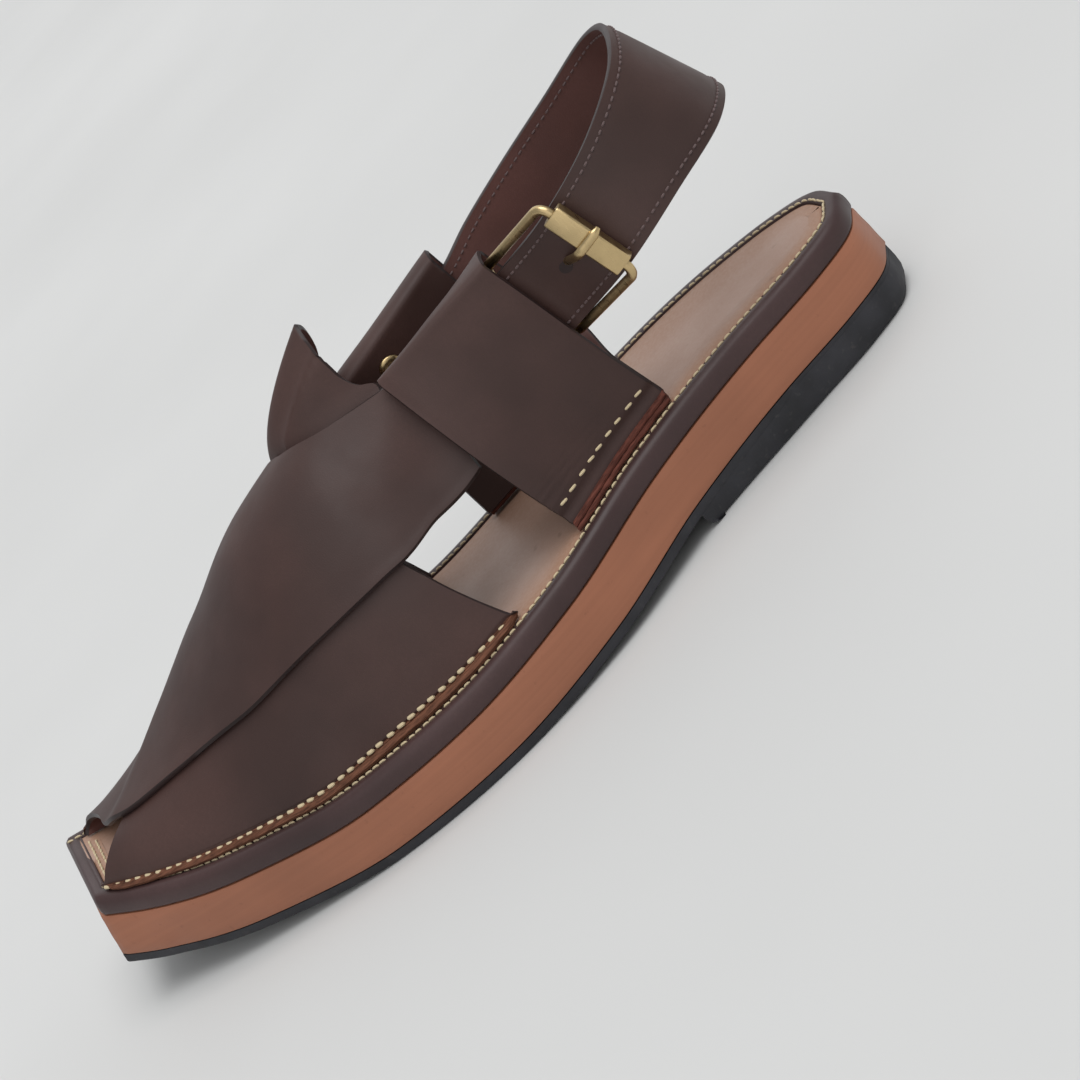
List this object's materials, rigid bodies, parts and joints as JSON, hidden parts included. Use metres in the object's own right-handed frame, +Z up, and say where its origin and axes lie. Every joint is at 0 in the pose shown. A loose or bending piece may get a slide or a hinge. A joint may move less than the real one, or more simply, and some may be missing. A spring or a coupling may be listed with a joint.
{
  "type": "kaptan chappal sandal",
  "caption": "Left open leather sandal: two panels crossed over the foot, folded side loops, heel strap with a roller buckle, thick layered sole with a low heel.",
  "frame": {"origin": "bottom centre of the bounding box, on the floor", "axes": "+X from heel to toe, +Y to the lateral side (the wearer's left), +Z up"},
  "size_m": [0.3018, 0.0986, 0.11],
  "materials": {
    "rubber_black": "matte black rubber",
    "midsole_brown": "satin brown midsole, burnished edge",
    "leather_dark": "satin dark brown leather",
    "leather_tan": "satin tan leather",
    "brass": "brushed brass"
  },
  "bodies": {
    "root": {"outsole": "rubber_black", "midsole": "midsole_brown", "rand": "leather_dark", "insole": "leather_tan", "upper": "leather_dark", "loop_lateral": "leather_dark", "loop_medial": "leather_dark", "heel_strap": "leather_dark", "rivet": "brass", "buckle_frame": "brass", "buckle_roller": "brass", "buckle_prong": "brass", "buckle_tab": "leather_dark"}
  },
  "joints": []
}
